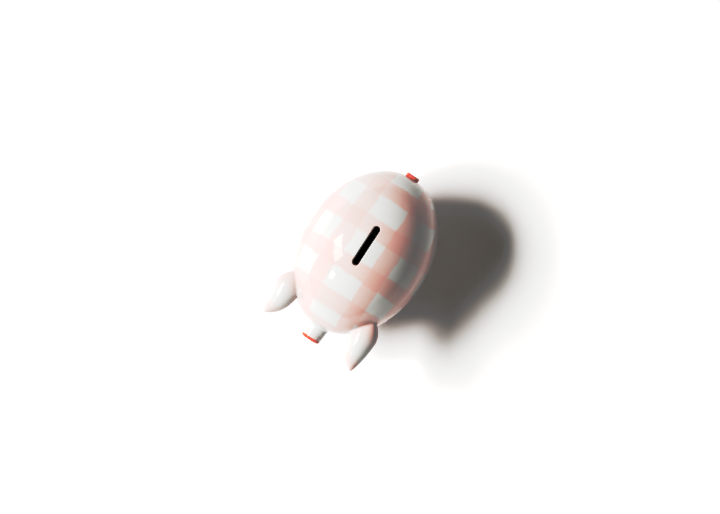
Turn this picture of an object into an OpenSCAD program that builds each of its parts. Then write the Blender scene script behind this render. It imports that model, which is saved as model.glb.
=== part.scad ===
// Pig coin bank in glazed earthenware: a hollow egg-shaped body with a coin slot
// in its back and a rubber stopper in its belly, standing on four stub legs.
// +Z is up and the snout points to -Y. The origin is on the table, at the middle
// of the outline seen from above. Left and right are the animal's own sides.

/* [Body] */
// Length of the egg-shaped body, without snout and tail
body_l = 153; // [125:1:190]
// Width of the body
body_w = 113; // [94:1:140]
// Height of the body
body_h = 113; // [85:1:125]
// Thickness of the fired wall
wall = 5; // [3.5:0.5:7]
// Free height between the table and the belly
belly_gap = 14; // [10:1:30]

/* [Coin slot] */
// Length of the coin slot, round ends included
slot_l = 38; // [26:1:46]
// Width of the coin slot
slot_w = 6; // [4.5:0.5:8]
// How far the slot's middle lies behind the body's middle
slot_back = 5; // [-10:1:15]

/* [Stopper] */
// Diameter of the emptying hole in the belly
hole_d = 34; // [26:1:42]
// Width of the flat ring that the stopper's flange seats on
seat_w = 5.5; // [3:0.5:8]
// Radial gap between the seated stopper's stem and the hole
stem_clear = 0.1; // [0.02:0.01:0.3]
// Radial gap around the flange in its recess
flange_clear = 1; // [0.5:0.25:2]
// Thickness of the flange
flange_t = 3; // [2:0.5:5]
// How far the stem's cup stands up past the wall
stem_over = 6; // [3:1:12]
// Thickness of the stem's rubber wall
stem_wall = 3; // [2:0.5:4]

/* [Ears] */
// Length of the left ear, from its root to its tip
left_ear_l = 43; // [30:1:55]
// Length of the right ear
right_ear_l = 40.5; // [30:0.5:55]
// Greatest width of an ear
ear_w = 24; // [16:0.5:30]
// How far an ear's tip leans outward from its root
ear_splay = 6; // [0:0.5:15]
// How far an ear's tip hangs below its root
ear_drop = 5; // [0:1:12]
// Height of an ear's rounded ridge above its middle line
ear_ridge = 5.5; // [3:0.5:8]
// How far the ear's edges curl down
ear_curl = 3; // [0:0.5:5]

/* [Snout] */
// How far the snout stands ahead of the body
snout_l = 14; // [8:1:25]
// Diameter of the snout at its end
snout_d = 18; // [12:1:26]
// How far the snout's axis lies below the body's middle
snout_low = 8; // [0:1:16]
// Diameter of a nostril
nostril_d = 3.4; // [2:0.2:5]

/* [Tail] */
// Outer diameter of the curl
curl_d = 15; // [11:1:20]
// Thickness of the tail where it leaves the body
tail_d = 4.4; // [3:0.2:6]
// How far the curl stands out from the body
tail_proud = 3.5; // [2.5:0.25:4.5]

/* [Legs] */
// Diameter of a leg at the foot
foot_d = 20; // [16:1:26]
// Diameter of a leg where it enters the body
thigh_d = 26; // [20:1:30]
// Rounding of the foot's edge
foot_round = 2; // [1:0.5:4]
// Distance from the body's side to a leg's axis
leg_in = 33; // [27:0.5:36]
// Distance from the body's front or rear end to a leg's axis
leg_back = 44; // [38:1:50]

/* [Hidden] */

half = [body_w, body_l, body_h] / 2;
white = "whitesmoke";
pink = "mistyrose";
coral = "salmon";

// Height of the egg's surface above its middle, at a place given from its middle
function egg_z(x, y) = half[2] * sqrt(max(0, 1 - pow(x / half[0], 2) - pow(y / half[1], 2)));
// Distance from the egg's middle to its surface at the front or rear
function egg_y(x, z) = half[1] * sqrt(max(0, 1 - pow(x / half[0], 2) - pow(z / half[2], 2)));

// An ear's root lies on the egg, at these shares of its half width and half length
ear_x = 0.69 * half[0];
ear_y = 0.656 * half[1];
ear_start = -0.15;
ear_rings = 16;
ear_sides = 20;

// The outline seen from above is centred on the origin along Y
front_reach = ear_y + max(left_ear_l, right_ear_l);
rear_reach = half[1] + tail_proud;
mid = [0, (front_reach - rear_reach) / 2, belly_gap + half[2]];

// The flange seats on a flat ring cut up into the belly, at a whole tenth of a millimetre
recess_r = hole_d / 2 + seat_w;
seat_z = ceil(10 * (mid[2] - egg_z(recess_r, 0) + 0.5)) / 10;
flange_z = seat_z - flange_t;

// The sphere is turned so that its seam runs down the rear
module egg(inset = 0)
  translate(mid) scale([for (h = half) h - inset]) rotate([0, 0, 90]) sphere(r = 1, $fn = 128);

module upright_cylinder(z_low, z_high, r)
  translate([mid[0], mid[1], z_low]) cylinder(h = z_high - z_low, r = r, $fn = 96);

module coin_slot()
  translate([mid[0], mid[1] + slot_back, mid[2]])
    linear_extrude(half[2] + 1) {
      square([slot_w, slot_l - slot_w], center = true);
      for (end = [-1, 1])
        translate([0, end * (slot_l - slot_w) / 2]) circle(d = slot_w, $fn = 48);
    }

module body_shell()
  color(white) difference() {
    egg();
    difference() {
      egg(wall);
      upright_cylinder(0, seat_z + wall, recess_r + wall);
    }
    coin_slot();
    upright_cylinder(belly_gap - 1, seat_z, recess_r);
    upright_cylinder(belly_gap - 1, seat_z + wall + 1, hole_d / 2);
  }

// Points of an arc, from one angle to another in equal steps
function arc(centre, r, from, to, steps) =
  [for (i = [0 : steps]) let (a = from + (to - from) * i / steps) centre + r * [cos(a), sin(a)]];

function cubic(p, t) =
  pow(1 - t, 3) * p[0] + 3 * pow(1 - t, 2) * t * p[1] + 3 * (1 - t) * t * t * p[2] + pow(t, 3) * p[3];

// Middle line of an ear from its root (t = 0) to its tip (t = 1); it starts inside the body
function ear_line(l, t) = cubic([[0, 0, 0],
                                 [0.1 * ear_splay, -0.34 * l, 1],
                                 [-0.2 * ear_splay, -0.75 * l, 0],
                                 [ear_splay, -l, -ear_drop]], t);

// Share of the ear's greatest width: a leaf that swells from its start and narrows to its tip
function ear_leaf(t) =
  pow(sin(90 * min(1, (t - ear_start) / 0.42)) * cos(90 * pow(max(0, t), 1.6)), 0.8);

// One cross-section of an ear: a round ridge above, a shallow hollow below
function ear_ring(l, t) =
  let (leaf = ear_leaf(t), thick = ear_ridge * sqrt(leaf))
  [for (j = [0 : ear_sides - 1])
    let (a = 360 * j / ear_sides)
    ear_line(l, t) + [ear_w / 2 * leaf * cos(a), 0,
                      thick * (sin(a) > 0 ? 1 : 0.45) * sin(a) - ear_curl * leaf * pow(cos(a), 2)]];

// Skin over equal rings, with a flat start and a point at the end
function skin_faces(rings, sides) = concat(
  [[for (j = [0 : sides - 1]) j]],
  [for (i = [0 : rings - 2], j = [0 : sides - 1])
    let (k = (j + 1) % sides, low = i * sides, high = low + sides)
    each [[low + j, high + j, high + k], [low + j, high + k, low + k]]],
  [for (j = [0 : sides - 1])
    let (last = (rings - 1) * sides)
    [last + j, rings * sides, last + (j + 1) % sides]]);

// An ear on the given side: 1 is the left, -1 the right
module ear(side, l)
  color(pink) difference() {
    mirror([side < 0 ? 1 : 0, 0, 0])
      translate(mid + [ear_x, -ear_y, egg_z(ear_x, ear_y)])
        polyhedron(
          concat(
            [for (i = [0 : ear_rings - 1])
              each ear_ring(l, ear_start + (1 - ear_start) * (i + 0.2) / (ear_rings + 0.2))],
            [ear_line(l, 1)]),
          skin_faces(ear_rings, ear_sides));
    egg();
  }

module left_ear() ear(1, left_ear_l);

module right_ear() ear(-1, right_ear_l);

module snout()
  color(coral) {
    end_r = snout_d / 2;
    root_r = end_r + 2;
    edge = 2.2;
    end = half[1] + snout_l;
    base = egg_y(0, snout_low + root_r) - wall;
    difference() {
      translate(mid - [0, 0, snout_low]) rotate([90, 0, 0]) difference() {
        rotate_extrude($fn = 96) polygon(concat(
          [[0, base], [root_r, base]],
          arc([end_r - edge, end - edge], edge, 0, 84, 6),
          [[0, end + 0.6]]));
        for (side = [-1, 1])
          translate([side * snout_d / 5, 0, end - 5]) cylinder(h = 10, d = nostril_d, $fn = 32);
      }
      egg();
    }
  }

// The curl lies on the rear of the body, from its buried root round to its tip
tail_rings = 26;
tail_sides = 12;
tail_turn = 300;
tail_lift = 5;
function tail_point(t) =
  let (r = (curl_d - tail_d) / 2 * (1 - 0.5 * t * t),
       a = 215 - tail_turn * t,
       x = r * cos(a),
       z = tail_lift + r * sin(a))
  [x, egg_y(x, z) + tail_proud - tail_d / 2 - 3.5 * pow(max(0, 1 - 7 * t), 2), z];
function tail_r(t) = tail_d / 2 * (1 - 0.45 * t);
function unit(v) = v / norm(v);
function tail_ring(t) =
  let (along = unit(tail_point(t + 0.01) - tail_point(t - 0.01)),
       side = unit(cross(along, [0, 1, 0])),
       out = cross(side, along))
  [for (j = [0 : tail_sides - 1])
    let (a = -360 * j / tail_sides)
    tail_point(t) + tail_r(t) * (cos(a) * side + sin(a) * out)];

module curly_tail()
  color(coral) difference() {
    translate(mid) polyhedron(
      concat([for (i = [0 : tail_rings - 1]) each tail_ring(i / tail_rings)],
             [tail_point(1) + tail_r(1) * unit(tail_point(1) - tail_point(0.99))]),
      skin_faces(tail_rings, tail_sides));
    egg();
  }

// A leg goes up into the body until its whole end is inside, and the body cuts it
module leg(side, fore) {
  place = [side * (half[0] - leg_in), fore * (half[1] - leg_back)];
  far = place + unit(place) * thigh_d / 2;
  top = mid[2] - egg_z(far[0], far[1]) + 1;
  color(white) difference() {
    translate([mid[0] + place[0], mid[1] + place[1], 0])
      rotate_extrude($fn = 96) polygon(concat(
        [[0, 0]],
        arc([foot_d / 2 - foot_round, foot_round], foot_round, 270, 360, 5),
        [[thigh_d / 2, top], [0, top]]));
    egg();
  }
}

module front_left_leg() leg(1, -1);

module front_right_leg() leg(-1, -1);

module rear_left_leg() leg(1, 1);

module rear_right_leg() leg(-1, 1);

// Rubber plug: a flange, a ribbed hollow stem and a grip bar across a dish
module stopper() {
  stem_r = hole_d / 2 - stem_clear;
  flange_r = recess_r - flange_clear;
  stem_h = wall + stem_over;
  dish_r = flange_r - 6;
  dish = 1.5;
  rib = stem_h / 6;
  groove = 0.8;
  color("dimgray") translate([mid[0], mid[1], 0]) {
    rotate_extrude($fn = 96) polygon(concat(
      [[0, flange_z + dish], [dish_r, flange_z + dish], [dish_r + 1, flange_z]],
      [[flange_r - 0.8, flange_z], [flange_r, flange_z + 0.8], [flange_r, seat_z]],
      [for (i = [0 : 2]) each [
        [stem_r, seat_z + 2 * i * rib],
        [stem_r, seat_z + (2 * i + 1) * rib],
        [stem_r - groove, seat_z + (2 * i + 1.25) * rib],
        [stem_r - groove, seat_z + (2 * i + 1.75) * rib]]],
      [[stem_r - 2 * groove, seat_z + stem_h], [stem_r - stem_wall, seat_z + stem_h]],
      [[stem_r - stem_wall, seat_z], [0, seat_z]]));
    translate([0, 0, flange_z + 1]) cube([2 * dish_r - 2, 3, 2], center = true);
  }
}

body_shell();
left_ear();
right_ear();
snout();
curly_tail();
front_left_leg();
front_right_leg();
rear_left_leg();
rear_right_leg();
stopper();
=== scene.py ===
# %% [markdown]
# # A glazed pig coin bank
#
# The bank is slip-cast earthenware: a hollow egg for the body, with ears, a
# snout, a tail and four legs stuck on with wet clay, then painted by hand with a
# pink gingham and glazed. A rubber stopper closes the belly.
#
# The measured model is loaded first and is never moved. Every visible piece
# below is shaped around it and takes the place of one of its nodes.
# %% Load the measured model
from math import atan2, cos, pi, radians, sin, sqrt

import bmesh
import bpy
from mathutils import Matrix, Vector


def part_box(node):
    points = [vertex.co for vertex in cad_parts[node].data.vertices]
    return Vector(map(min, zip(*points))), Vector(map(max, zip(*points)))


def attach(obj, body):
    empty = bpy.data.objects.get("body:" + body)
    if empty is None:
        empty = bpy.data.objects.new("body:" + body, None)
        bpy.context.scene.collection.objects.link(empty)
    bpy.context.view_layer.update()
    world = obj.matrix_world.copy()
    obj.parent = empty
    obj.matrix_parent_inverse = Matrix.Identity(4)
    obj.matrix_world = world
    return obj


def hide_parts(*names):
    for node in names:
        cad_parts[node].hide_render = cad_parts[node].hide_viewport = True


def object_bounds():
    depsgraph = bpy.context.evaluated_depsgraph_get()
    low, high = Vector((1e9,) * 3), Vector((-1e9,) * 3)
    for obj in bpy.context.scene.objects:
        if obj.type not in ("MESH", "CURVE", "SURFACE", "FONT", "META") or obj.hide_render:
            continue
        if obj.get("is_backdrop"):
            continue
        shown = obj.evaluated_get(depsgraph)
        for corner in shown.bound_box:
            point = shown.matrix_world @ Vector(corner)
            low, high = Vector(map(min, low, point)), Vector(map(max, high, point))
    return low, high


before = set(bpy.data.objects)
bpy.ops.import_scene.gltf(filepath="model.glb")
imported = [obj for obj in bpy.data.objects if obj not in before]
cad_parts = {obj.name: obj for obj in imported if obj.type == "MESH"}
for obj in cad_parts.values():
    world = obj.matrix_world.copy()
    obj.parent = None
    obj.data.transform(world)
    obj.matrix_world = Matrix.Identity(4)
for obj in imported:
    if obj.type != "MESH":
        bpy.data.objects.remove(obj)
cad_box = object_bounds()
MM = 0.001

# %% [markdown]
# ## The egg that everything sits on
#
# The body is an egg, longer than it is wide and as high as it is wide. Its middle
# and half axes come from the measured body, so that ears, snout and legs can ask
# where its surface is. The stopper's recess cuts the egg's lowest point away, so that
# point comes from the free height under the belly instead.
# %% The egg's middle and half axes
BELLY_GAP = 14 * MM
shell_low, shell_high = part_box("body_shell")
MID = Vector((0, (shell_low.y + shell_high.y) / 2, (BELLY_GAP + shell_high.z) / 2))
HALF = Vector((shell_high.x, (shell_high.y - shell_low.y) / 2, shell_high.z - MID.z))


def egg_left(first, second):
    """What an egg's third coordinate has left of its half axis when two are used up."""
    return sqrt(max(0.0, 1 - first ** 2 - second ** 2))


def egg_top(x, y, inset=0.0):
    """Height of the egg's surface above its middle, at a place measured from its middle."""
    return (HALF.z - inset) * egg_left(x / (HALF.x - inset), y / (HALF.y - inset))


def egg_end(x, z):
    """Distance from the egg's middle to its surface along its length."""
    return HALF.y * egg_left(x / HALF.x, z / HALF.z)


def over_egg(point):
    """How far a point, measured from the egg's middle, stands off the surface, and which way is out."""
    steep = Vector((point.x / HALF.x ** 2, point.y / HALF.y ** 2, point.z / HALF.z ** 2))
    return (point.dot(steep) - 1) / (2 * steep.length), steep.normalized()


print("egg middle in mm:", [round(v / MM, 2) for v in MID], "half axes:", [round(v / MM, 2) for v in HALF])

# %% [markdown]
# ## Pulling clay ring by ring
#
# A potter's shapes are rings: a snout is rings that narrow and close, a hollow
# body is rings that run down the outside and come back up the inside. So one
# helper starts from a circle, extrudes its edge again and again, and lets a
# formula put each new ring in its place. Every vertex remembers its share of the
# way round in a layer that the extrusion copies. The faces stay even and nearly
# square, which matters on glossy glaze, where a reflection shows each kink.
# %% Ring helper
def pull_rings(name, around, rings, place):
    """A closed piece of rings: place(u, ring) is a vertex's position for u in 0..1 around the ring."""
    bm = bmesh.new()
    share = bm.verts.layers.float.new("share")
    bmesh.ops.create_circle(bm, segments=around, radius=1)
    for vert in bm.verts:
        vert[share] = atan2(vert.co.y, vert.co.x) / (2 * pi) % 1
    fresh, edges = set(bm.verts), list(bm.edges)
    for ring in range(rings + 1):
        if ring > 0:
            made = bmesh.ops.extrude_edge_only(bm, edges=edges)["geom"]
            fresh = {part for part in made if isinstance(part, bmesh.types.BMVert)}
            edges = [part for part in made
                     if isinstance(part, bmesh.types.BMEdge) and fresh.issuperset(part.verts)]
        for vert in fresh:
            vert.co = place(vert[share], ring)
    bmesh.ops.remove_doubles(bm, verts=bm.verts, dist=MM / 1000)
    open_edges = [edge for edge in bm.edges if edge.is_boundary]
    if open_edges:
        bmesh.ops.holes_fill(bm, edges=open_edges, sides=0)
    bmesh.ops.recalc_face_normals(bm, faces=bm.faces)
    return finished(name, bm)


def finished(name, bm, crease=40):
    """Makes the bmesh an object at the origin: smooth, with creases only at steeper folds."""
    for face in bm.faces:
        face.smooth = True
    loose = sum(1 for edge in bm.edges if not edge.is_manifold)
    mesh = bpy.data.meshes.new(name)
    bm.to_mesh(mesh)
    bm.free()
    mesh.set_sharp_from_angle(angle=radians(crease))
    piece = bpy.data.objects.new(name, mesh)
    bpy.context.scene.collection.objects.link(piece)
    print(f"{name}: {len(mesh.polygons)} faces, {loose} loose edges")
    return piece


def smooth_step(low, high, value):
    """0 below low, 1 above high and a smooth S between them."""
    t = min(1.0, max(0.0, (value - low) / (high - low)))
    return t * t * (3 - 2 * t)


# %% [markdown]
# ## Body shell
#
# The shell has two openings, the coin slot on top and the stopper's hole below,
# so its rings close on themselves: out of the slot, down over the outside, into
# the recess and the hole, and back up the inside to the slot. Seen from above,
# each ring slides from the slot's outline, a long hole with round ends, to the
# egg's oval outline, and each vertex is lifted onto the egg. The edges that the
# glaze runs over are quarter rounds.
# %% Outlines of the shell's rings
WALL = 5 * MM
SLOT_LENGTH = 38 * MM
SLOT_WIDTH = 6 * MM
SLOT_BACK = 5 * MM
SLOT_LIP = 0.8 * MM
HOLE_R = 17 * MM
FLANGE_CLEAR = 1 * MM
FLANGE_T = 3 * MM
stop_low, stop_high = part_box("stopper")
RECESS_R = stop_high.x + FLANGE_CLEAR
RECESS_LIP = 0.4 * MM
SEAT = stop_low.z + FLANGE_T - MID.z


def slot_outline(u, grow=0.0):
    """The slot's outline, grown by a margin: two thirds of each half turn are straight."""
    radius = SLOT_WIDTH / 2 + grow
    straight = (SLOT_LENGTH - SLOT_WIDTH) / 2
    sixth = (u * 6 + 1) % 6
    side = 1 if sixth < 3 else -1
    part = sixth % 3
    if part < 2:
        return Vector((side * radius, SLOT_BACK + side * straight * (part - 1), 0))
    angle = pi * (part - 2)
    return Vector((side * radius * cos(angle), SLOT_BACK + side * (straight + radius * sin(angle)), 0))


def oval(u, x_radius, y_radius):
    return Vector((x_radius * cos(2 * pi * u), y_radius * sin(2 * pi * u), 0))


def lifted(flat, side, inset=0.0, sunk=0.0):
    """A flat place lifted onto the egg's upper (1) or lower (-1) surface, or sunk into the wall."""
    return Vector((flat.x, flat.y, side * (egg_top(flat.x, flat.y, inset) - sunk)))


print("recess radius in mm:", round(RECESS_R / MM, 2), "seat height:", round((SEAT + MID.z) / MM, 2))


# %% The shell, ring by ring
def quarter(steps):
    return [radians(90 * k / steps) for k in range(steps + 1)]


def shell_rings():
    """The shell's rings in order: each is a function of the share of the way round."""
    rings = []
    for a in quarter(6):
        rings.append(lambda u, a=a: lifted(slot_outline(u, SLOT_LIP * (1 - cos(a))), 1,
                                           sunk=SLOT_LIP * (1 - sin(a))))
    for a in quarter(72)[1:]:
        rings.append(lambda u, f=sin(a): lifted(
            slot_outline(u, SLOT_LIP).lerp(oval(u, HALF.x, HALF.y), f), 1))
    rim = RECESS_R + RECESS_LIP
    for a in quarter(64)[1:]:
        rings.append(lambda u, f=cos(a): lifted(oval(u, rim, rim).lerp(oval(u, HALF.x, HALF.y), f), -1))
    for a in quarter(4)[1:]:
        grown = RECESS_R + RECESS_LIP * (1 - sin(a))
        rings.append(lambda u, r=grown, a=a: lifted(oval(u, r, r), -1, 0, RECESS_LIP * (1 - cos(a))))
    for radius, height in ((RECESS_R, SEAT), (HOLE_R, SEAT),
                           (HOLE_R, SEAT + WALL), (RECESS_R + WALL, SEAT + WALL)):
        rings.append(lambda u, r=radius, z=height: oval(u, r, r) + Vector((0, 0, z)))
    inner = (HALF.x - WALL, HALF.y - WALL)
    boss = RECESS_R + WALL
    for a in quarter(32):
        rings.append(lambda u, f=sin(a): lifted(oval(u, boss, boss).lerp(oval(u, *inner), f), -1, WALL))
    for a in quarter(32)[1:]:
        rings.append(lambda u, f=cos(a): lifted(slot_outline(u).lerp(oval(u, *inner), f), 1, WALL))
    for share in (0.7, 0.35):
        rings.append(lambda u, s=share: lifted(slot_outline(u), 1, 0, SLOT_LIP + (WALL - SLOT_LIP) * s))
    return rings + rings[:1]


RINGS = shell_rings()
body = pull_rings("gingham_body", 192, len(RINGS) - 1, lambda u, ring: MID + RINGS[ring](u))

# %% [markdown]
# ## Sticking a piece onto the egg
#
# Ears, snout and legs are pressed on with slip, and the potter smooths the seam
# with a wet finger into a small round weld. A piece is described by its skin, a
# formula for a point at a share t of the way to its closed end. Each line along
# the skin starts just under the egg's surface, found by halving, and near the
# surface the skin flares outward by a quarter round.
# %% Helper for pieces with a weld
WELD = 2.2 * MM
BURIED = 0.5 * MM


def leaves_egg(skin, angle, inside, outside):
    """The share t at which one line of a skin comes up through the egg."""
    for _ in range(22):
        t = (inside + outside) / 2
        if over_egg(skin(t, angle)[0])[0] < -BURIED:
            inside = t
        else:
            outside = t
    return outside


def welded(point, middle):
    """Moves a point near the egg outward along its surface, as smoothed clay."""
    height, out = over_egg(point)
    reach = min(1.0, max(0.0, 1 - height / WELD))
    away = point - middle
    away -= away.dot(out) * out
    return point + away.normalized() * WELD * (1 - sqrt(1 - reach ** 2))


def stick_on(name, skin, inside, outside, rows=150, around=72):
    """A piece whose skin(t, angle) gives a point and the middle line beside it, from the egg's middle."""
    starts = {}

    def place(u, ring):
        angle = 2 * pi * u
        if u not in starts:
            starts[u] = leaves_egg(skin, angle, inside, outside)
        t = starts[u] + (1 - starts[u]) * smooth_step(0, rows, ring)
        return MID + welded(*skin(t, angle))

    return pull_rings(name, around, rows, place)


def on_chain(chain, t):
    """The place at a share t of the way along a chain of points."""
    lengths = [(b - a).length for a, b in zip(chain, chain[1:])]
    rest = t * sum(lengths)
    for a, b, length in zip(chain, chain[1:], lengths):
        if rest <= length:
            return a.lerp(b, rest / length)
        rest -= length
    return chain[-1].copy()


print(f"welds of {WELD / MM:.1f} mm, seams buried {BURIED / MM:.1f} mm deep")

# %% [markdown]
# ## Ears
#
# Each ear is a leaf of clay: ridged on top, slightly hollow below, with its edges
# curled down and its tip drawn out to a point. It grows forward from the body's
# shoulder. Its middle line is a Bezier curve, and its width swells from the root
# and narrows to the tip. The two ears aren't equally long, as on any pair that is
# shaped by hand, so each takes its length from its measured node.
# %% Ears
EAR_ROOT = Vector((0.69 * HALF.x, -0.656 * HALF.y, 0))
EAR_ROOT.z = egg_top(EAR_ROOT.x, EAR_ROOT.y)
EAR_WIDTH = 24 * MM
EAR_RIDGE = 5.5 * MM
EAR_CURL = 3 * MM
EAR_SPLAY = 6 * MM
EAR_DROP = 5 * MM
EAR_START = -0.15
EAR_TIP = 0.9995


def bezier(points, t):
    a, b, c, d = points
    return (1 - t) ** 3 * a + 3 * (1 - t) ** 2 * t * b + 3 * (1 - t) * t * t * c + t ** 3 * d


def leaf_width(t):
    """Share of the leaf's greatest width."""
    swell = sin(pi / 2 * min(1.0, max(0.0, (t - EAR_START) / 0.42)))
    narrow = cos(pi / 2 * max(0.0, t) ** 1.6)
    return max(0.0, swell * narrow) ** 0.8


def ear_skin(side, length):
    line = [Vector((0, 0, 0)), Vector((0.1 * EAR_SPLAY, -0.34 * length, 1 * MM)),
            Vector((-0.2 * EAR_SPLAY, -0.75 * length, 0)), Vector((EAR_SPLAY, -length, -EAR_DROP))]

    def skin(t, angle):
        t = min(t, EAR_TIP)
        middle = EAR_ROOT + bezier(line, t)
        leaf = leaf_width(t)
        ridge = EAR_RIDGE * sqrt(leaf) * (1 if sin(angle) > 0 else 0.45)
        across = EAR_WIDTH / 2 * leaf * cos(angle)
        up = ridge * sin(angle) - EAR_CURL * leaf * cos(angle) ** 2
        point = middle + Vector((across, 0, up))
        return Vector((side * point.x, point.y, point.z)), Vector((side * middle.x, middle.y, middle.z))

    return skin


ears = {}
for node, side in (("left_ear", 1), ("right_ear", -1)):
    ear_length = MID.y + EAR_ROOT.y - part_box(node)[0].y
    ears[node] = stick_on(node + "_leaf", ear_skin(side, ear_length), EAR_START + 0.01, 0.55)
    print(node, "length in mm:", round(ear_length / MM, 1))

# %% [markdown]
# ## Snout
#
# The snout is a short cone with a soft edge and a slightly domed end. Turned
# shapes like this are one chain of points from the root to the middle of the end.
# The two nostrils are poked into the wet clay with a stick, so they are pits with
# round lips: the skin is simply pushed in there.
# %% Snout
snout_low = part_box("snout")[0]
SNOUT_DOWN = 8 * MM
SNOUT_END_R = 9 * MM
SNOUT_ROOT_R = 11 * MM
SNOUT_EDGE = 2.2 * MM
SNOUT_DOME = 0.6 * MM
SNOUT_BASE = egg_end(0, SNOUT_DOWN + SNOUT_ROOT_R) - WALL
SNOUT_TIP = MID.y - snout_low.y
NOSTRIL_AT = 3.6 * MM
NOSTRIL_R = 1.7 * MM
NOSTRIL_LIP = 0.6 * MM
NOSTRIL_DEPTH = 4 * MM


def rounded(centre, radius, start, steps=32):
    """A quarter round of a chain, turning from a start direction by a right angle."""
    return [centre + radius * Vector((cos(start + a), sin(start + a))) for a in quarter(steps)]


def snout_chain():
    """Radius and distance from the egg's middle, from the root to the middle of the end."""
    edge_y = SNOUT_TIP - SNOUT_DOME - SNOUT_EDGE
    flat = SNOUT_END_R - SNOUT_EDGE
    dome = [Vector((flat * (1 - k / 16), SNOUT_TIP - SNOUT_DOME * (1 - k / 16) ** 2)) for k in range(17)]
    return [Vector((SNOUT_ROOT_R, SNOUT_BASE))] + rounded(Vector((flat, edge_y)), SNOUT_EDGE, 0) + dome[1:]


SNOUT_CHAIN = snout_chain()


def snout_skin(t, angle):
    radius, reach = on_chain(SNOUT_CHAIN, t)
    x, z = radius * cos(angle), radius * sin(angle)
    if t > 0.6:
        off = sqrt((abs(x) - NOSTRIL_AT) ** 2 + z ** 2)
        reach -= NOSTRIL_DEPTH * (1 - smooth_step(NOSTRIL_R - NOSTRIL_LIP, NOSTRIL_R + NOSTRIL_LIP, off))
    return Vector((x, -reach, z - SNOUT_DOWN)), Vector((0, -reach, -SNOUT_DOWN))


snout = stick_on("stub_snout", snout_skin, 0, 0.5, around=144)

# %% [markdown]
# ## Tail
#
# The tail is a thin roll of clay laid on the rear in one curl. Its middle line
# winds inward just above the egg's surface and the roll thins towards its tip,
# which ends in a half ball. The first part sinks into the body, where the potter
# pressed it on.
# %% Tail
TAIL_D = 4.4 * MM
CURL_D = 15 * MM
TAIL_PROUD = 3.5 * MM
TAIL_LIFT = 5 * MM
TAIL_TURN = radians(300)
TAIL_FROM = radians(215)
TAIL_ROWS = 120
TAIL_CAP_ROWS = 12


def tail_middle(t):
    radius = (CURL_D - TAIL_D) / 2 * (1 - 0.5 * t * t)
    angle = TAIL_FROM - TAIL_TURN * t
    x, z = radius * cos(angle), TAIL_LIFT + radius * sin(angle)
    sunk = 3.5 * MM * max(0.0, 1 - 7 * t) ** 2
    return Vector((x, egg_end(x, z) + TAIL_PROUD - TAIL_D / 2 - sunk, z))


def tail_place(u, ring):
    t = min(1.0, ring / (TAIL_ROWS - TAIL_CAP_ROWS))
    cap = radians(90) * max(0, ring - (TAIL_ROWS - TAIL_CAP_ROWS)) / TAIL_CAP_ROWS
    along = (tail_middle(t + 0.01) - tail_middle(t - 0.01)).normalized()
    side = along.cross(Vector((0, 1, 0))).normalized()
    spoke = side * cos(2 * pi * u) + side.cross(along) * sin(2 * pi * u)
    radius = TAIL_D / 2 * (1 - 0.45 * t)
    return MID + tail_middle(t) + radius * (along * sin(cap) + spoke * cos(cap))


tail = pull_rings("curl_tail", 32, TAIL_ROWS, tail_place)

# %% [markdown]
# ## Legs
#
# Four stub legs, thicker at the thigh. They are turned shapes too, from inside
# the belly down to the middle of the sole. The foot has a soft edge and a flat
# sole that stands on the table, and the potter wipes it clean of glaze so that
# it doesn't stick to the kiln shelf.
# %% Legs
FOOT_R = 10 * MM
THIGH_R = 13 * MM
FOOT_EDGE = 2 * MM
LEG_IN = 33 * MM
LEG_BACK = 44 * MM
LEG_X = HALF.x - LEG_IN
LEG_Y = HALF.y - LEG_BACK


def leg_skin(side, fore):
    place = Vector((side * LEG_X, fore * LEG_Y, 0))
    far = place + place.normalized() * THIGH_R
    top = -egg_top(far.x, far.y) + 1 * MM
    sole = -MID.z
    edge = Vector((FOOT_R - FOOT_EDGE, sole + FOOT_EDGE))
    round_edge = [Vector((p.x, 2 * edge.y - p.y)) for p in rounded(edge, FOOT_EDGE, 0)]
    chain = [Vector((THIGH_R, top))] + round_edge + [Vector((0, sole))]

    def skin(t, angle):
        radius, height = on_chain(chain, t)
        middle = Vector((place.x, place.y, height))
        return middle + radius * Vector((cos(angle), sin(angle), 0)), middle

    return skin


legs = {}
for node, side, fore in (("front_left_leg", 1, -1), ("front_right_leg", -1, -1),
                         ("rear_left_leg", 1, 1), ("rear_right_leg", -1, 1)):
    legs[node] = stick_on(node + "_stub", leg_skin(side, fore), 0, 0.5)

# %% [markdown]
# ## Rubber stopper
#
# The stopper is moulded: a flange that seats on the belly, a hollow stem whose
# ribs grip the hole, and a dish with a bar to pull it out by. A moulded round
# shape is a profile spun once round its axis. The profile's corners are real
# corners here, and a bevel on the spun edges gives them the mould's small round.
# %% Stopper
STEM_CLEAR = 0.1 * MM
STEM_WALL = 3 * MM
DISH_DEPTH = 1.5 * MM
GROOVE = 0.8 * MM
BAR_WIDTH = 3 * MM
MOULD_ROUND = 0.25 * MM


def stopper_profile():
    """Radius and height, from the middle of the dish round the outside to the middle of the cup."""
    flange_r = RECESS_R - FLANGE_CLEAR
    seat = stop_low.z + FLANGE_T
    stem_r = HOLE_R - STEM_CLEAR
    stem_h = stop_high.z - seat
    rib = stem_h / 6
    dish_r = flange_r - 6 * MM
    points = [(0, stop_low.z + DISH_DEPTH), (dish_r, stop_low.z + DISH_DEPTH), (dish_r + 1 * MM, stop_low.z),
              (flange_r - 0.8 * MM, stop_low.z), (flange_r, stop_low.z + 0.8 * MM), (flange_r, seat)]
    for k in range(3):
        foot = seat + 2 * k * rib
        points += [(stem_r, foot), (stem_r, foot + rib), (stem_r - GROOVE, foot + 1.25 * rib),
                   (stem_r - GROOVE, foot + 1.75 * rib)]
    points += [(stem_r - 2 * GROOVE, seat + stem_h), (stem_r - STEM_WALL, seat + stem_h),
               (stem_r - STEM_WALL, seat), (0, seat)]
    return [Vector((radius, 0, height)) for radius, height in points]


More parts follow.
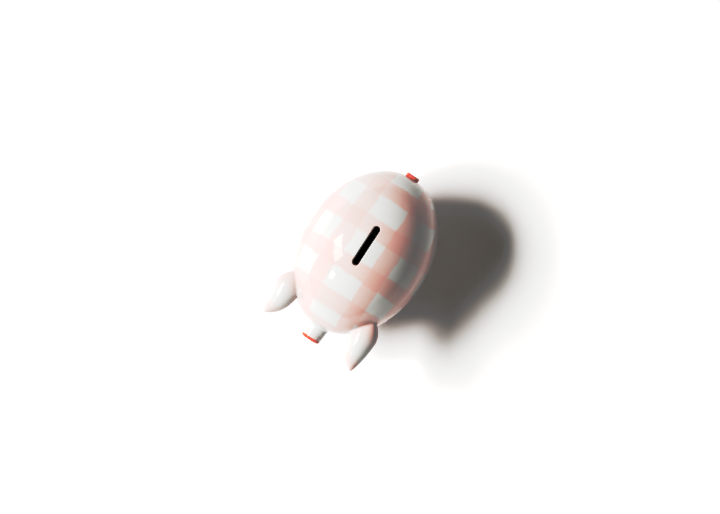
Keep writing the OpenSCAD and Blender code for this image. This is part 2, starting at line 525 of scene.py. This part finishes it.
def make_stopper():
    bm = bmesh.new()
    verts = [bm.verts.new(point) for point in stopper_profile()]
    edges = [bm.edges.new(pair) for pair in zip(verts, verts[1:])]
    bmesh.ops.spin(bm, geom=verts + edges, cent=(0, 0, 0), axis=(0, 0, 1), angle=2 * pi, steps=144,
                   use_merge=True)
    bmesh.ops.remove_doubles(bm, verts=bm.verts, dist=MM / 1000)
    dish_r = RECESS_R - FLANGE_CLEAR - 6 * MM
    bar = Matrix.Diagonal((2 * dish_r - 2 * MM, BAR_WIDTH, 2 * MM, 1))
    bar.translation.z = stop_low.z + 1 * MM
    bmesh.ops.create_cube(bm, size=1, matrix=bar)
    bmesh.ops.recalc_face_normals(bm, faces=bm.faces)
    corners = [edge for edge in bm.edges if edge.calc_face_angle(0) > radians(20)]
    bmesh.ops.bevel(bm, geom=corners, affect="EDGES", offset=MOULD_ROUND, segments=3, profile=0.5,
                    material=-1, clamp_overlap=True)
    bmesh.ops.translate(bm, verts=bm.verts, vec=(0, MID.y, 0))
    return finished("ribbed_stopper", bm, 30)


stopper = make_stopper()

# %% [markdown]
# ## Shader maths in plain Python
#
# A finish is a tree of small nodes. Writing them one by one hides what they
# work out, so a Field wraps a socket and lets Python's own signs add the Math
# nodes, and a Finish makes every other node from its type, settings and inputs.
# %% Field and Finish
class Field:
    """A number that varies over the surface: a node's socket that Python's signs work on."""

    def __init__(self, finish, socket):
        self.finish = finish
        self.socket = socket

    def __add__(self, other):
        return self.finish.maths("ADD", self, other)

    def __sub__(self, other):
        return self.finish.maths("SUBTRACT", self, other)

    def __rsub__(self, other):
        return self.finish.maths("SUBTRACT", other, self)

    def __mul__(self, other):
        return self.finish.maths("MULTIPLY", self, other)

    def __truediv__(self, other):
        return self.finish.maths("DIVIDE", self, other)

    def __neg__(self):
        return self * -1

    def __abs__(self):
        return self.finish.maths("ABSOLUTE", self)

    def __pow__(self, other):
        return self.finish.maths("POWER", self, other)

    __radd__ = __add__
    __rmul__ = __mul__


class Finish:
    """A material for one of the bank's pieces."""

    def __init__(self, name, **constants):
        self.material = bpy.data.materials.new(name)
        self.material.use_nodes = True
        self.tree = self.material.node_tree
        self.shader = self.tree.nodes["Principled BSDF"]
        for socket, value in constants.items():
            self.shader.inputs[socket.replace("_", " ").title().replace("Ior", "IOR")].default_value = value
        self.object = self.node("TexCoord", out="Object")

    def node(self, kind, settings=(), inputs=(), out=0, stops=()):
        """Adds a node: its settings first, then values or links for its sockets."""
        made = self.tree.nodes.new("ShaderNode" + kind)
        for setting, value in dict(settings).items():
            setattr(made, setting, value)
        for number, (position, value) in enumerate(stops):
            ramp = made.color_ramp.elements
            stop = ramp[number] if number < 2 else ramp.new(position)
            stop.position = position
            stop.color = (value, value, value, 1)
        for socket, value in dict(inputs).items():
            self.feed(made.inputs[socket], value)
        return Field(self, made.outputs[out])

    def feed(self, socket, value):
        if isinstance(value, Field):
            self.tree.links.new(value.socket, socket)
        else:
            socket.default_value = value

    def maths(self, operation, *values):
        return self.node("Math", {"operation": operation}, enumerate(values))

    def xyz(self, vector):
        made = self.tree.nodes.new("ShaderNodeSeparateXYZ")
        self.feed(made.inputs[0], vector)
        return [Field(self, part) for part in made.outputs]

    def from_middle(self):
        """Metres from the egg's middle, as three fields."""
        return self.xyz(self.node("VectorMath", {"operation": "SUBTRACT"}, {0: self.object, 1: MID}))

    def noise(self, scale, detail=2.0, stretch=(1, 1, 1), shift=(0, 0, 0)):
        """Noise between 0 and 1, with features of about 1 / scale metres."""
        stretched = self.node("Mapping", {}, {"Vector": self.object, "Scale": stretch, "Location": shift})
        return self.node("TexNoise", {}, {"Vector": stretched, "Scale": scale, "Detail": detail})

    def rise(self, value, low, high):
        """0 below low, 1 above high and a smooth S between them."""
        return self.node("MapRange", {"interpolation_type": "SMOOTHSTEP"}, {0: value, 1: low, 2: high})

    def mix(self, share, first, second, blend="MIX"):
        settings = {"data_type": "RGBA", "blend_type": blend}
        return self.node("Mix", settings, {0: share, 6: first, 7: second}, out=2)

    def bump(self, height, depth, strength=1.0):
        return self.node("Bump", {}, {"Height": height, "Distance": depth, "Strength": strength})

    def end(self, **fields):
        """Feeds what varies into the shader."""
        for socket, value in fields.items():
            self.feed(self.shader.inputs[socket.replace("_", " ").title()], value)
        print(self.material.name, "uses", len(self.tree.nodes), "nodes")
        return self.material


# %% [markdown]
# ## White tin glaze
#
# All ceramic pieces share one glaze: nearly white, glassy and a little uneven.
# It lies thicker in some places, so its tone drifts; it has a slow waviness that
# bends reflections; and a few pinholes stay where gas escaped in the kiln. Bare
# clay shows wherever no glaze was put: inside the bank and under the feet.
# %% Glaze helper
GLAZE_WHITE = (0.60, 0.60, 0.590, 1)
GLAZE_THICK = (0.90, 0.93, 0.93, 1)
PINHOLE = (0.55, 0.47, 0.38, 1)
CLAY_DARK = (0.44, 0.34, 0.25, 1)
CLAY_PALE = (0.58, 0.48, 0.37, 1)
PAINT_PINK = (1.06, 0.76, 0.72, 1)
PAINT_OVER = (1.0, 0.95, 0.95, 1)
CORAL = (0.56, 0.085, 0.05, 1)
CORAL_THIN = (0.80, 0.17, 0.10, 1)
GLAZE_GLOSS = {"specular_ior_level": 0.5, "ior": 1.52, "roughness": 0.07}


def glaze_tone(finish, colour):
    """The glaze over a colour: slow drift of its tone and a few pinholes. Also gives the pinholes."""
    drift = finish.noise(22, 3)
    toned = finish.mix(finish.rise(drift, 0.3, 0.75) * 0.35, colour, GLAZE_THICK, "MULTIPLY")
    grains = finish.node("TexVoronoi", {}, {"Vector": finish.object, "Scale": 260})
    pitted = finish.rise(finish.noise(40, 1, shift=(3, 1, 2)), 0.60, 0.66)
    pinholes = (1 - finish.rise(grains, 0.03, 0.07)) * pitted
    return finish.mix(pinholes * 0.5, toned, PINHOLE, "MULTIPLY"), pinholes


def glazed(finish, colour, bare, paint_height=0.0):
    """Ends a ceramic finish. bare is 1 where no glaze covers the clay."""
    toned, pinholes = glaze_tone(finish, colour)
    grit = finish.noise(900, 3)
    clay = finish.mix(grit, CLAY_DARK, CLAY_PALE)
    waves = finish.noise(70, 1.5) * 0.5 + finish.noise(260, 1) * 0.06 + paint_height
    height = waves * (1 - bare) - pinholes * 0.4 + grit * bare * 0.5
    gloss = 0.05 + finish.noise(90, 2, shift=(5, 5, 5)) * 0.05
    return finish.end(base_color=finish.mix(bare, toned, clay), roughness=gloss * (1 - bare) + bare * 0.85,
                      normal=finish.bump(height, 0.25 * MM))


print("glaze white", GLAZE_WHITE[:3], "bare clay", CLAY_DARK[:3], "to", CLAY_PALE[:3])

# %% [markdown]
# ## Pink gingham
#
# The gingham is painted freehand with a wide soft brush and thin pink underglaze.
# Strokes across the body sit at given angles along its length. Strokes along the
# body keep their distance from the back's middle line, measured over the curve,
# so they don't bunch up at the ends. Where two strokes cross, the paint is
# double and darker. The edges wobble, the paint is a little thicker at a
# stroke's edge, and the bristles leave streaks along it.
# %% Gingham strokes
CROSS_STROKES = ((-77, 11), (-46.5, 15.3), (-15.9, 12.3), (11.8, 11.4), (40.1, 14.6), (68.7, 12.7))
STROKE_FIRST = 22.5 * MM
STROKE_EVERY = 41.2 * MM
STROKE_HALF = 8.1 * MM
EDGE_SOFT = 1.1 * MM
EDGE_SOFT_DEGREES = 0.7
EYE_AT = 17 * MM
EYE_R = 2.1 * MM
EYE_BLACK = (0.018, 0.012, 0.010, 1)


def cross_strokes(finish, along):
    """1 inside the strokes across the body; along is -1 at the rear and 1 at the snout."""
    wobble = (finish.noise(55, 2) - 0.5) * 4.2 + (finish.noise(330, 1) - 0.5) * 1.4
    degrees = finish.maths("ARCSINE", along) * (180 / pi) + wobble
    stops = []
    for centre, width in CROSS_STROKES:
        for edge, value in ((-1, 0), (1, 1)):
            stops.append(((centre - width / 2 + edge * EDGE_SOFT_DEGREES + 90) / 180, value))
        for edge, value in ((-1, 1), (1, 0)):
            stops.append(((centre + width / 2 + edge * EDGE_SOFT_DEGREES + 90) / 180, value))
    return finish.node("ValToRGB", {}, {0: degrees / 180 + 0.5}, stops=stops)


def long_strokes(finish, x, along, z):
    """1 inside the strokes along the body, at steady distances from the back's middle line."""
    wobble = (finish.noise(48, 2, shift=(7, 3, 1)) - 0.5) * (5.0 * MM)
    wobble = wobble + (finish.noise(300, 1) - 0.5) * (1.2 * MM)
    girth = HALF.x * (1 - along * along) ** 0.5
    around = abs(finish.maths("ARCTAN2", x, z * (HALF.x / HALF.z)) * girth) + wobble
    folded = finish.maths("FLOORED_MODULO", around - (STROKE_FIRST - STROKE_EVERY / 2), STROKE_EVERY)
    off = abs(folded - STROKE_EVERY / 2)
    return 1 - finish.rise(off, STROKE_HALF - EDGE_SOFT, STROKE_HALF + EDGE_SOFT)


def painted_eyes(finish, x, y, z):
    """1 inside the two dots on the face, beside the snout and above it."""
    off = ((abs(x) - EYE_AT) ** 2 + z ** 2) ** 0.5 + (finish.noise(500, 1) - 0.5) * (0.4 * MM)
    return (1 - finish.rise(off, EYE_R - 0.1 * MM, EYE_R + 0.1 * MM)) * finish.rise(-y, 0, 1 * MM)


def body_glaze():
    finish = Finish("gingham_glaze", **GLAZE_GLOSS)
    x, y, z = finish.from_middle()
    along = y / -HALF.y
    across_mask = cross_strokes(finish, along)
    long_mask = long_strokes(finish, x, along, z)
    any_paint = finish.maths("MAXIMUM", across_mask, long_mask)
    double = across_mask * long_mask
    streaks = finish.noise(1, 2, (60, 420, 60)) * across_mask + finish.noise(1, 2, (420, 45, 420)) * long_mask
    thick = 0.70 + streaks * 0.28 + (finish.noise(30, 2, shift=(9, 9, 4)) - 0.5) * 0.8
    rim = any_paint * (1 - any_paint) * 0.5
    colour = finish.mix(any_paint * thick + rim, GLAZE_WHITE, PAINT_PINK, "MULTIPLY")
    colour = finish.mix(double * (0.7 + streaks * 0.25), colour, PAINT_OVER, "MULTIPLY")
    colour = finish.mix(painted_eyes(finish, x, y, z), colour, EYE_BLACK)
    level = (x / HALF.x) ** 2 + along ** 2 + (z / HALF.z) ** 2
    inside = 1 - finish.rise(level, 0.93, 0.95)
    return glazed(finish, colour, inside, any_paint * 0.08)


# %% [markdown]
# ## Paint on the other pieces
#
# The ears are washed with thin pink at the root and the tip, and stay white
# between. Snout and tail are painted coral: the tail all over, the snout only on
# its end and a narrow edge, where the brush was drawn round it. Each leg carries
# a pink band, and its sole is bare clay.
# %% Ear, snout, tail and leg finishes
def ear_glaze(name, length):
    finish = Finish(name, **GLAZE_GLOSS)
    y = finish.from_middle()[1]
    forward = (EAR_ROOT.y - y) / length + (finish.noise(60, 2) - 0.5) * 0.22
    wash = 1 - finish.rise(forward, 0.0, 0.50) + finish.rise(forward, 0.60, 0.92) * 0.9
    streaks = finish.noise(1, 2, (420, 60, 420))
    colour = finish.mix(wash * (0.65 + streaks * 0.6), GLAZE_WHITE, PAINT_PINK, "MULTIPLY")
    return glazed(finish, colour, 0.0, wash * 0.05)


def snout_glaze():
    finish = Finish("snout_glaze", **GLAZE_GLOSS)
    y = finish.from_middle()[1]
    edge = 3.4 * MM + (finish.noise(150, 2) - 0.5) * (1.4 * MM)
    coral = finish.rise(-y - SNOUT_TIP + edge, -0.25 * MM, 0.25 * MM)
    blush = finish.rise(-y, SNOUT_TIP - 12 * MM, SNOUT_TIP) * 0.4
    colour = finish.mix(blush, GLAZE_WHITE, PAINT_PINK, "MULTIPLY")
    thick = finish.rise(finish.noise(160, 3, shift=(2, 2, 2)), 0.25, 0.7)
    deep = finish.mix(thick, CORAL_THIN, CORAL)
    return glazed(finish, finish.mix(coral, colour, deep), 0.0, coral * 0.15)


def tail_glaze():
    finish = Finish("tail_glaze", **GLAZE_GLOSS)
    thick = finish.rise(finish.noise(170, 3), 0.25, 0.7)
    colour = finish.mix(thick, CORAL_THIN, CORAL)
    thin = finish.rise(finish.noise(420, 2, shift=(1, 4, 1)), 0.62, 0.72) * 0.35
    return glazed(finish, finish.mix(thin, colour, GLAZE_WHITE), 0.0, thick * 0.1)


def leg_glaze():
    finish = Finish("leg_glaze", **GLAZE_GLOSS)
    z = finish.from_middle()[2]
    height = z + MID.z
    wobble = (finish.noise(120, 2) - 0.5) * (0.8 * MM)
    bare = 1 - finish.rise(height + wobble, 0.7 * MM, 1.0 * MM)
    over = finish.rise(height - wobble, 19 * MM, 19.8 * MM)
    band = finish.rise(height + wobble * 2, 9 * MM, 9.8 * MM) * (1 - over)
    streaks = finish.noise(1, 2, (60, 60, 420))
    colour = finish.mix(band * (0.65 + streaks * 0.4), GLAZE_WHITE, PAINT_PINK, "MULTIPLY")
    return glazed(finish, colour, bare, band * 0.08)


# %% [markdown]
# ## Rubber
#
# The stopper is grey-black moulded rubber: matt, with a fine grain from the
# mould, pale patches where it has bloomed and a few specks of dust.
# %% Rubber finish
RUBBER = (0.030, 0.029, 0.028, 1)
RUBBER_BLOOM = (0.085, 0.082, 0.078, 1)
RUBBER_DUST = (0.20, 0.19, 0.18, 1)


def rubber():
    finish = Finish("stopper_rubber", specular_ior_level=0.35, ior=1.5)
    grain = finish.noise(1400, 3)
    bloom = finish.rise(finish.noise(140, 4), 0.42, 0.75)
    colour = finish.mix(bloom * 0.6, RUBBER, RUBBER_BLOOM)
    specks = finish.rise(finish.noise(2600, 1, shift=(4, 2, 8)), 0.70, 0.74) * 0.25
    return finish.end(base_color=finish.mix(specks, colour, RUBBER_DUST),
                      roughness=0.52 + bloom * 0.2 + grain * 0.08, normal=finish.bump(grain, 0.05 * MM))


# %% [markdown]
# ## Every piece gets its finish, its body and its node
#
# The ceramic pieces ride on the bank, and the stopper on itself, so that it can
# be pulled out. Each piece stands for the measured node whose place it takes.
# %% Dress and place the pieces
def dress(piece, material, body_name, node):
    piece.data.materials.append(material)
    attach(piece, body_name)
    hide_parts(node)
    print(f"{piece.name}: rides on {body_name}, stands for {node}")


dress(body, body_glaze(), "bank", "body_shell")
for node, piece in ears.items():
    ear_length = MID.y + EAR_ROOT.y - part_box(node)[0].y
    dress(piece, ear_glaze(node + "_glaze", ear_length), "bank", node)
dress(snout, snout_glaze(), "bank", "snout")
dress(tail, tail_glaze(), "bank", "curly_tail")
leg_finish = leg_glaze()
for node, piece in legs.items():
    dress(piece, leg_finish, "bank", node)
dress(stopper, rubber(), "stopper", "stopper")

# %% [markdown]
# ## Floor, studio light and camera
#
# The bank stands on a pale floor that the light turns to white. A tall softbox
# on its left gives the window-shaped reflection. A stronger strip a little
# further forward casts the soft dark shadow, and the glaze doesn't mirror it. A
# small round lamp in front gives the second glint. The studio is dim and a little
# warm, and brighter near the floor, which draws the light rims.
# %% Floor
FLOOR_HALF = 6.0
PAPER_WHITE = (0.98, 0.98, 0.98, 1)
PAPER_GREY = (0.95, 0.95, 0.945, 1)


def make_floor():
    bm = bmesh.new()
    bmesh.ops.create_grid(bm, x_segments=8, y_segments=8, size=FLOOR_HALF)
    floor = finished("pale_floor", bm)
    finish = Finish("floor_paper", specular_ior_level=0.1, roughness=0.9)
    grain = finish.noise(900, 3)
    finish.end(base_color=finish.mix(grain * 0.3, PAPER_WHITE, PAPER_GREY))
    floor.data.materials.append(finish.material)
    floor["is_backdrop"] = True


make_floor()


# %% Lights
def lamp(name, direction, watts, size, size_y=None, roll=0, mirrored=True):
    """An area light that looks at the bank: an upright rectangle or a disk, mirrored by the glaze or not."""
    data = bpy.data.lights.new(name, "AREA")
    data.energy = watts
    data.shape = "DISK" if size_y is None else "RECTANGLE"
    data.size = size
    if size_y is not None:
        data.size_y = size_y
    light = bpy.data.objects.new(name, data)
    bpy.context.scene.collection.objects.link(light)
    back = Vector(direction).normalized()
    right = IMAGE_UP.cross(back).normalized()
    turn = Matrix((right, back.cross(right), back)).transposed().to_4x4()
    place = Matrix.Translation(MID + back * LAMP_AWAY)
    light.matrix_world = place @ turn @ Matrix.Rotation(radians(roll), 4, "Z")
    light.visible_glossy = mirrored


LAMP_AWAY = 6.0
IMAGE_UP = Vector((-0.5452, 0.8383, 0))
KEY_FROM = (-0.675, -0.170, 0.718)
SHADE_FROM = (-0.609, -0.336, 0.718)
lamp("tall_softbox", KEY_FROM, 100, 1.25, 2.9, roll=26)
lamp("long_soft_strip", SHADE_FROM, 600, 1.7, 2.9, mirrored=False)
lamp("small_round_lamp", (-0.445, -0.638, 0.737), 20, 0.95)


def make_studio():
    """A dim warm studio that is bright near the horizon, and white where the camera sees it."""
    world = bpy.data.worlds.new("studio")
    bpy.context.scene.world = world
    world.use_nodes = True
    nodes, links = world.node_tree.nodes, world.node_tree.links
    split = nodes.new("ShaderNodeSeparateXYZ")
    links.new(nodes.new("ShaderNodeTexCoord").outputs["Generated"], split.inputs[0])
    ramp = nodes.new("ShaderNodeValToRGB")
    links.new(split.outputs["Z"], ramp.inputs[0])
    ramp.color_ramp.elements[0].position = 0.05
    ramp.color_ramp.elements[0].color = (0.16, 0.15, 0.135, 1)
    ramp.color_ramp.elements[1].position = 0.40
    ramp.color_ramp.elements[1].color = (0.075, 0.064, 0.050, 1)
    seen = nodes.new("ShaderNodeMix")
    seen.data_type = "RGBA"
    links.new(nodes.new("ShaderNodeLightPath").outputs["Is Camera Ray"], seen.inputs[0])
    links.new(ramp.outputs[0], seen.inputs[6])
    seen.inputs[7].default_value = (1, 1, 1, 1)
    links.new(seen.outputs[2], nodes["Background"].inputs["Color"])


make_studio()


def set_film():
    """A film curve with a soft shoulder, so that the lit glaze keeps its paint."""
    view = bpy.context.scene.view_settings
    view.view_transform = "Standard"
    view.use_curve_mapping = True
    film = view.curve_mapping
    film.white_level = (FILM_WHITE,) * 3
    for light, shown in FILM_POINTS:
        film.curves[3].points.new(light / FILM_WHITE, shown)
    film.update()


FILM_WHITE = 1.24
FILM_POINTS = ((0.11, 0.083), (0.23, 0.125), (0.33, 0.235), (0.45, 0.465),
               (0.57, 0.64), (0.73, 0.775), (0.93, 0.865), (1.13, 0.93))
set_film()

# %% [markdown]
# The camera looks down on the bank from 1.3 m with a short telephoto lens, a
# little from its left side, and is rolled so that the snout points to the lower
# left of the picture.
# %% Camera
LOOK_AT = Vector((-2.15, 0.81, 65)) * MM
CAMERA_SIDE = 62 * MM
CAMERA_UP = 1298.5 * MM
camera = bpy.data.objects.new("camera", bpy.data.cameras.new("camera"))
bpy.context.scene.collection.objects.link(camera)
camera.data.lens = 74.3
camera.data.sensor_width = 36
back = Vector((CAMERA_SIDE, 0, CAMERA_UP)).normalized()
up = (IMAGE_UP - IMAGE_UP.dot(back) * back).normalized()
camera.matrix_world = Matrix.Translation(LOOK_AT + Vector((CAMERA_SIDE, 0, CAMERA_UP))) @ Matrix(
    (up.cross(back), up, back)).transposed().to_4x4()
bpy.context.scene.camera = camera
print("camera at", [round(v, 3) for v in camera.matrix_world.translation])

# %% [markdown]
# The finished bank's box is compared with the measured one's, and how far each
# corner is off is printed.
# %% Sizes and finish
visual_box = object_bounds()
for corner, cad, visual in zip(("low", "high"), cad_box, visual_box):
    print(corner, "corner off in mm:", [round((b - a) / MM, 2) for a, b in zip(cad, visual)])
